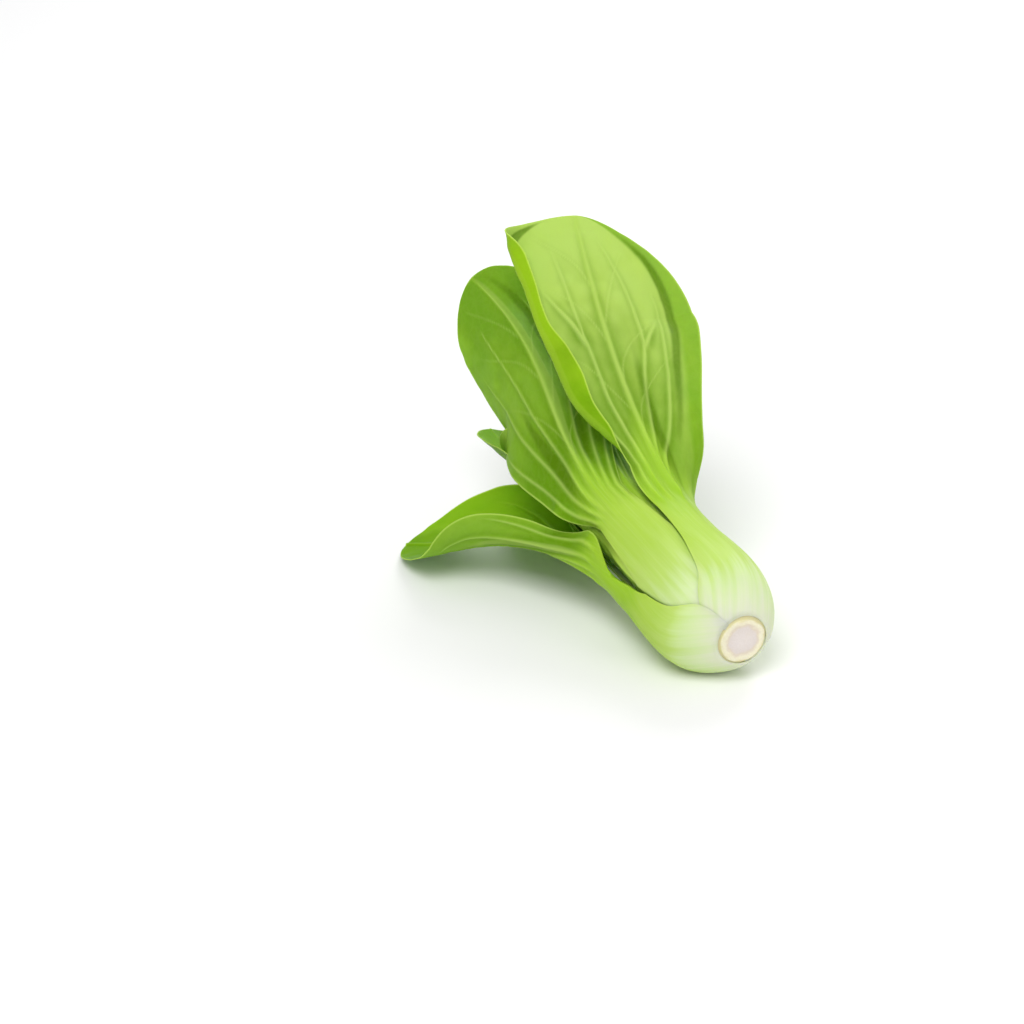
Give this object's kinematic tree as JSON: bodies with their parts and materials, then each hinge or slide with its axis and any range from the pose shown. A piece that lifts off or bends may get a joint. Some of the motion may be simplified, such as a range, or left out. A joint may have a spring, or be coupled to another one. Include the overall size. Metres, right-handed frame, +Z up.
{
  "type": "bok choy head",
  "caption": "Head of green-stemmed baby bok choy: thick pale stalks packed into a bulb, broad green blades spreading from it, cut at the base, lying on its side.",
  "frame": {"origin": "middle of the bounding box in plan, on the surface that the head lies on", "axes": "+Z up from that surface, +Y along the head from the cut end to the leaf tips, +X to the right seen from the cut end"},
  "size_m": [0.1224, 0.2024, 0.1309],
  "materials": {
    "outer_leaf": "waxy, pale cream at the bulb to mid green at the blade",
    "inner_leaf": "waxy, paler and yellower than the outer leaves",
    "stem": "moist cut face, cream with a faint pink grey middle"
  },
  "bodies": {
    "root": {"stem_base": "stem", "leaf_01_outer_left": "outer_leaf", "leaf_02_top": "outer_leaf", "leaf_03_outer_right": "outer_leaf", "leaf_04_middle": "outer_leaf", "leaf_05_right": "outer_leaf", "leaf_06_under": "outer_leaf", "leaf_07_inner": "inner_leaf", "leaf_08_inner": "inner_leaf", "leaf_09_inner": "inner_leaf", "leaf_10_heart": "inner_leaf", "leaf_11_heart": "inner_leaf"}
  },
  "joints": []
}
